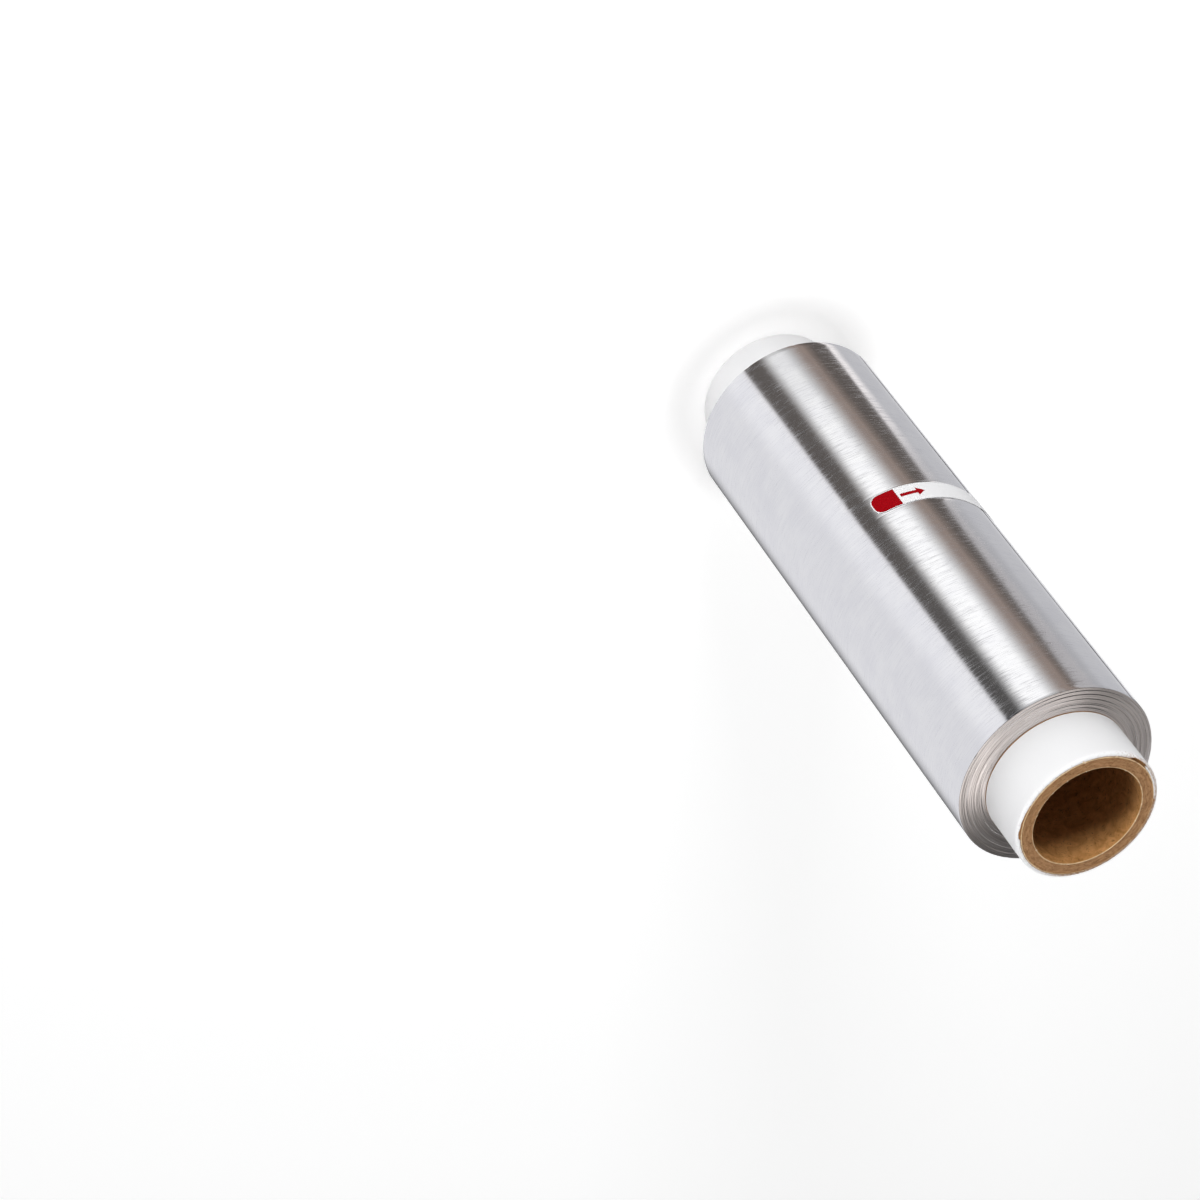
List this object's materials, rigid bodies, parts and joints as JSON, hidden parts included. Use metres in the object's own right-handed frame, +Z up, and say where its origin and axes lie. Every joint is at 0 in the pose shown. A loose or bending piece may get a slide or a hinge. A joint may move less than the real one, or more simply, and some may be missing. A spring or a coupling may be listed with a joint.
{
  "type": "aluminium foil roll",
  "caption": "Catering roll of aluminium foil wound on a white-faced cardboard core, with its free edge held down by a paper closing label.",
  "frame": {"origin": "centre of the core's lower cut end, on the roll's axis, where the standing roll rests", "axes": "+Z up the roll's axis; -Y towards the viewer who sees the label's pull tab; the label runs from the front round to the back left (-X)"},
  "size_m": [0.1013, 0.101, 0.363],
  "materials": {
    "brown_board": "matt mottled brown board with pale cut rims",
    "white_facing": "smooth white satin facing",
    "foil": "semi-bright rolled foil with fine lines round the roll",
    "label_paper": "white gloss label with a plain red field and arrow"
  },
  "bodies": {
    "root": {"core_tube": "brown_board", "core_facing": "white_facing", "foil_winding": "foil", "closing_label": "label_paper"}
  },
  "joints": []
}
